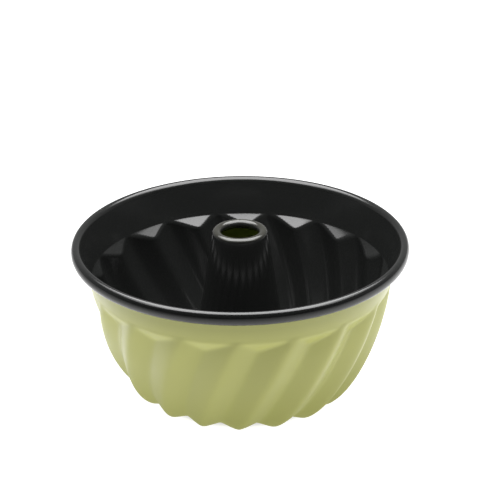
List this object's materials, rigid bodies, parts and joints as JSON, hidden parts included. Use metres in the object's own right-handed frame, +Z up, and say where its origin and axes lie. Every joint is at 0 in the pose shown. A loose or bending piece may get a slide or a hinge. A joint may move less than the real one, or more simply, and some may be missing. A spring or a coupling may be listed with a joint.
{
  "type": "kugelhopf mould",
  "caption": "Enamelled sheet-steel ring mould with swirled flutes, a rolled rim and a tapered, open centre tube, for baking a tall ring-shaped yeast or sponge cake.",
  "frame": {"origin": "on the mould's axis, in the plane of the flute feet that it stands on", "axes": "+Z up along the centre tube, out of the open mouth; +X and +Y level, with -Y towards the picture's camera"},
  "size_m": [0.2197, 0.2198, 0.1136],
  "materials": {
    "green_enamelled_steel": "gloss olive-green vitreous enamel on pressed sheet steel",
    "black_enamel": "gloss black vitreous enamel"
  },
  "bodies": {
    "root": {"body_shell": "green_enamelled_steel", "bowl_lining": "black_enamel", "rim_band": "black_enamel", "centre_tube": "green_enamelled_steel", "tube_jacket": "black_enamel"}
  },
  "joints": []
}
